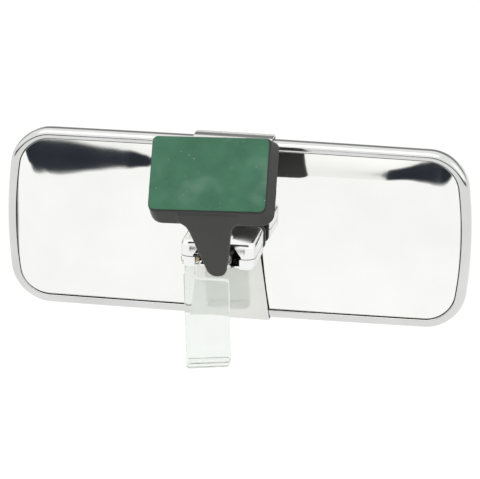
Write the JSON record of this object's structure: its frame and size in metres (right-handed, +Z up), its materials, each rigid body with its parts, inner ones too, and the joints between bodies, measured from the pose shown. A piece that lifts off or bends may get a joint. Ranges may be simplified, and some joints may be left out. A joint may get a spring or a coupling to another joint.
{
  "type": "interior rearview mirror",
  "caption": "Interior rearview mirror: wedge glass in a bright metal rim and back, strapped to a chromed ball clamp with a clear dip lever, hung from a black foot with a green adhesive pad.",
  "frame": {"origin": "centre of the adhesive pad's outer face, the face that is stuck to the windscreen", "axes": "+X across the head to the right as seen from the windscreen, +Y toward the driver, the way the glass faces, +Z up"},
  "size_m": [0.2095, 0.0696, 0.1141],
  "materials": {
    "pad_green": "glossy release film over foam tape",
    "foot_black": "satin black enamel on die casting",
    "steel_bright": "turned and polished",
    "nylon": "natural nylon",
    "spring_steel": "sprung steel",
    "chrome": "chrome plate",
    "block_black": "moulded acetal",
    "brass": "turned brass",
    "steel_polished": "polished stainless strip",
    "rim_steel": "rolled bright rim, fine brushed",
    "glass": "wedge glass",
    "silvering": "silvered layer",
    "foam": "grey foam",
    "lever_clear": "clear moulded acrylic"
  },
  "bodies": {
    "foot": {"adhesive_pad": "pad_green", "mount_foot": "foot_black", "ball_stud": "steel_bright"},
    "liner": {"ball_liner": "nylon"},
    "grip": {"grip_shell": "spring_steel"},
    "clamp": {"clamp_shell_upper": "chrome", "clamp_shell_lower": "chrome", "cheek_left": "block_black", "cheek_right": "block_black", "dip_pin": "steel_bright", "lever_pin": "brass", "clamp_screw_left": "steel_bright", "clamp_screw_right": "steel_bright", "toggle_spring": "spring_steel"},
    "head": {"pivot_block": "block_black", "block_screw_left": "steel_bright", "block_screw_right": "steel_bright", "strap": "steel_polished", "back_shell": "steel_polished", "rim_bezel": "rim_steel", "glass_prism": "glass", "mirror_silvering": "silvering", "backing_pad": "foam", "packing_strip": "foam"},
    "lever": {"dip_lever": "lever_clear"}
  },
  "joints": [
    {"name": "head_turn", "type": "hinge", "parent": "foot", "child": "liner", "pos_m": [0.00172, 0.02243, -0.04168], "axis": [0, 0, 1], "range_deg": [-12, 12]},
    {"name": "head_roll", "type": "hinge", "parent": "liner", "child": "grip", "pos_m": [0.00172, 0.02243, -0.04168], "axis": [0, 1, 0], "range_deg": [-8, 8]},
    {"name": "head_nod", "type": "hinge", "parent": "grip", "child": "clamp", "pos_m": [0.00172, 0.02243, -0.04168], "axis": [1, 0, 0], "range_deg": [-10, 10]},
    {"name": "head_dip", "type": "hinge", "parent": "clamp", "child": "head", "pos_m": [0.00172, 0.03983, -0.04168], "axis": [1, 0, 0], "range_deg": [0, 4]},
    {"name": "lever_flip", "type": "hinge", "parent": "clamp", "child": "lever", "pos_m": [0.00172, 0.01723, -0.04458], "axis": [1, 0, 0], "range_deg": [0, 24]}
  ],
  "couplings": [
    {"joint": "lever_flip", "follows": "head_dip", "ratio": 6}
  ]
}
